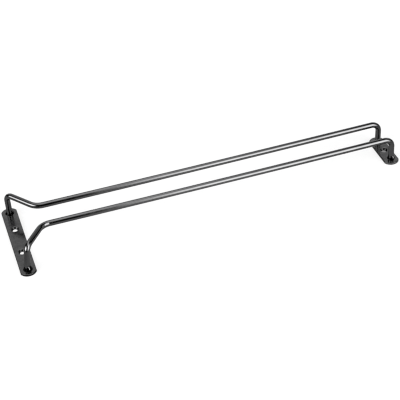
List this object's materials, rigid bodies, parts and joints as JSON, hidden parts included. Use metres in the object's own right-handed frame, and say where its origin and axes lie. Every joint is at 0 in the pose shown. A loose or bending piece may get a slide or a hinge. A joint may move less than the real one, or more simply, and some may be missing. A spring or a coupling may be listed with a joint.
{
  "type": "hanging wine glass rack",
  "caption": "Single-channel bent-wire rack that screws under a shelf by flat plates and holds stemmed glasses by their feet, flared at its open front.",
  "frame": {"origin": "on the plates' mounting faces, midway along and across the rack", "axes": "+X along the rails from the flared open front to the rear plate, +Y across them, +Z from the mounting faces to the rails. The part stands as pictured, upside down; in use +Z points down."},
  "size_m": [0.4064, 0.107, 0.03],
  "materials": {
    "plate_plating": "dark bright plating, slightly hazy",
    "wire_plating": "dark bright plating, glossy",
    "weld_plating": "dark plating over weld metal"
  },
  "bodies": {
    "root": {"front_plate": "plate_plating", "rear_plate": "plate_plating", "near_rail": "wire_plating", "far_rail": "wire_plating", "near_front_weld": "weld_plating", "far_front_weld": "weld_plating", "near_rear_weld": "weld_plating", "far_rear_weld": "weld_plating"}
  },
  "joints": []
}
